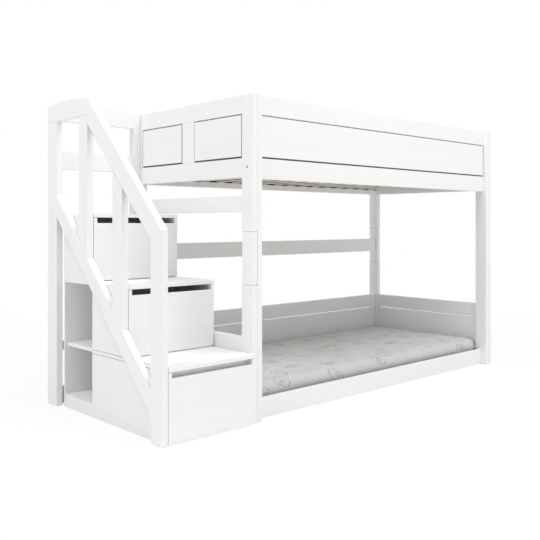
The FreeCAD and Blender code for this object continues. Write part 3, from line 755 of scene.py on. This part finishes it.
def settle(piece, corner_low, corner_high):
    """Crowns the top, draws in the sides between the corners, flattens the underside."""
    middle = (corner_low + corner_high) / 2
    half = (corner_high - corner_low) / 2
    for vertex in piece.data.vertices:
        u = (vertex.co.x - middle.x) / half.x
        v = (vertex.co.y - middle.y) / half.y
        tall = (vertex.co.z - corner_low.z) / (corner_high.z - corner_low.z)
        if vertex.co.z > middle.z:
            vertex.co.z += CROWN * (1 - u ** 4) * (1 - v ** 2) - CROWN * CROWN_SINK
            inward = min(1, 2.5 * (tall - 0.5)) * (1 - v ** 6)
            vertex.co.z += wrinkle(vertex.co.x, vertex.co.y) * inward
        vertex.co.z = max(vertex.co.z, corner_low.z + UNDERSIDE_GAP)
        vertex.co.y -= v * (SIDE_DRAW * (1 - u * u) + FOOT_TUCK * (1 - tall) ** 2)


def soft_mattress(node_name):
    """A soft mattress in the place of a CAD block."""
    corner_low, corner_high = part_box(node_name)
    piece = foam_block("soft_" + node_name, corner_low, corner_high)
    swell(piece)
    settle(piece, corner_low, corner_high)
    creases = bpy.data.textures.new("creases_" + node_name, "CLOUDS")
    creases.noise_scale = 0.11
    creases.noise_depth = 2
    apply_modifier(piece, "DISPLACE", texture=creases, strength=CREASE_HEIGHT, mid_level=0.5)
    apply_modifier(piece, "SMOOTH", factor=0.5, iterations=2)
    apply_modifier(piece, "SUBSURF", levels=1, render_levels=1)
    only(piece)
    bpy.ops.object.shade_smooth()
    piece.data.materials.append(cover)
    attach(piece, "bed")
    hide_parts(node_name)
    print(piece.name, len(piece.data.polygons), "faces")
    return piece


mattresses = [soft_mattress(name) for name in ("lower_mattress", "upper_mattress")]

# %% [markdown]
# ## The studio
#
# The bed stands on a large sheet of white card, lit softly from above. To the camera the card shows
# mostly plain white, so that the picture's ground stays clean and only the object's shadow is left
# of it, and with distance it turns wholly white, so that no horizon shows. Everything else sees it
# as matt card that throws light back up.

# %% Floor
FLOOR_SIDE = 40
WHITE_SHARE = 0.86
FADE_FROM, FADE_TO = 1.6, 4.5

deselect_all()
bpy.ops.mesh.primitive_plane_add(size=FLOOR_SIDE, location=(0, 0, -0.001))
floor = bpy.context.active_object
floor.name = "floor"
bpy.ops.object.transform_apply(location=True, rotation=True, scale=True)

card = Finish("floor_card")
card.feed(base_color=(0.92, 0.92, 0.92, 1), roughness=0.9, specular_ior_level=0.1)
glow = card.node("Emission", {}, {"Color": (1, 1, 1, 1), "Strength": 1.0})
plain_rays = card.node("LightPath", output="Is Camera Ray")
for kind in ("Is Glossy Ray", "Is Transmission Ray"):
    plain_rays = card.maths("MAXIMUM", plain_rays, card.node("LightPath", output=kind))
distance = card.node("VectorMath", {"operation": "LENGTH"}, {0: card.place}, "Value")
share = card.between(distance, FADE_FROM, FADE_TO, WHITE_SHARE, 1.0)
ground = card.node("MixShader", {}, {0: plain_rays * share,
                                     1: Wire(card, card.shader.outputs[0]), 2: glow})
card.connect(card.tree.nodes["Material Output"].inputs["Surface"], ground)
floor.data.materials.append(card.material)
print("floor:", FLOOR_SIDE, "m of card")

# %% [markdown]
# The light comes from a pale sky all round and from two soft boxes that hang high up, one toward
# the front and one toward the stairs. Because they hang high, the upper bunk shades the lower one
# as a ceiling would, and the faces toward the camera stay evenly bright. The camera, and whatever
# is seen in a shiny surface, gets plain white where the sky is.

# %% Soft boxes and sky
SKY = 0.585
LIT_POINT = (0.2, 0, 0.7)


def soft_box(name, place, width, power):
    """A square area light that looks at the middle of the bed."""
    light = bpy.data.lights.new(name, "AREA")
    light.shape = "SQUARE"
    light.size = width
    light.energy = power
    lamp = bpy.data.objects.new(name, light)
    bpy.context.scene.collection.objects.link(lamp)
    lamp.location = place
    lamp.rotation_euler = (Vector(LIT_POINT) - lamp.location).to_track_quat("-Z", "Y").to_euler()


soft_box("front_box", (0.5, -3.2, 6.0), 3.0, 195)
soft_box("stairs_box", (-4.2, -0.3, 6.0), 3.0, 165)

world = bpy.data.worlds.new("studio")
bpy.context.scene.world = world
world.use_nodes = True
sky_nodes, sky_links = world.node_tree.nodes, world.node_tree.links
fill = sky_nodes["Background"]
fill.inputs["Color"].default_value = (1, 1, 1, 1)
fill.inputs["Strength"].default_value = SKY
white = sky_nodes.new("ShaderNodeBackground")
white.inputs["Color"].default_value = (1, 1, 1, 1)
rays = sky_nodes.new("ShaderNodeLightPath")
blend = sky_nodes.new("ShaderNodeMixShader")
plain = rays.outputs["Is Camera Ray"]
for kind in ("Is Glossy Ray", "Is Transmission Ray"):
    either = sky_nodes.new("ShaderNodeMath")
    either.operation = "MAXIMUM"
    sky_links.new(plain, either.inputs[0])
    sky_links.new(rays.outputs[kind], either.inputs[1])
    plain = either.outputs[0]
sky_links.new(plain, blend.inputs[0])
sky_links.new(fill.outputs[0], blend.inputs[1])
sky_links.new(white.outputs[0], blend.inputs[2])
sky_links.new(blend.outputs[0], sky_nodes["World Output"].inputs["Surface"])
bpy.context.scene.view_settings.view_transform = "Standard"
print("studio lit")
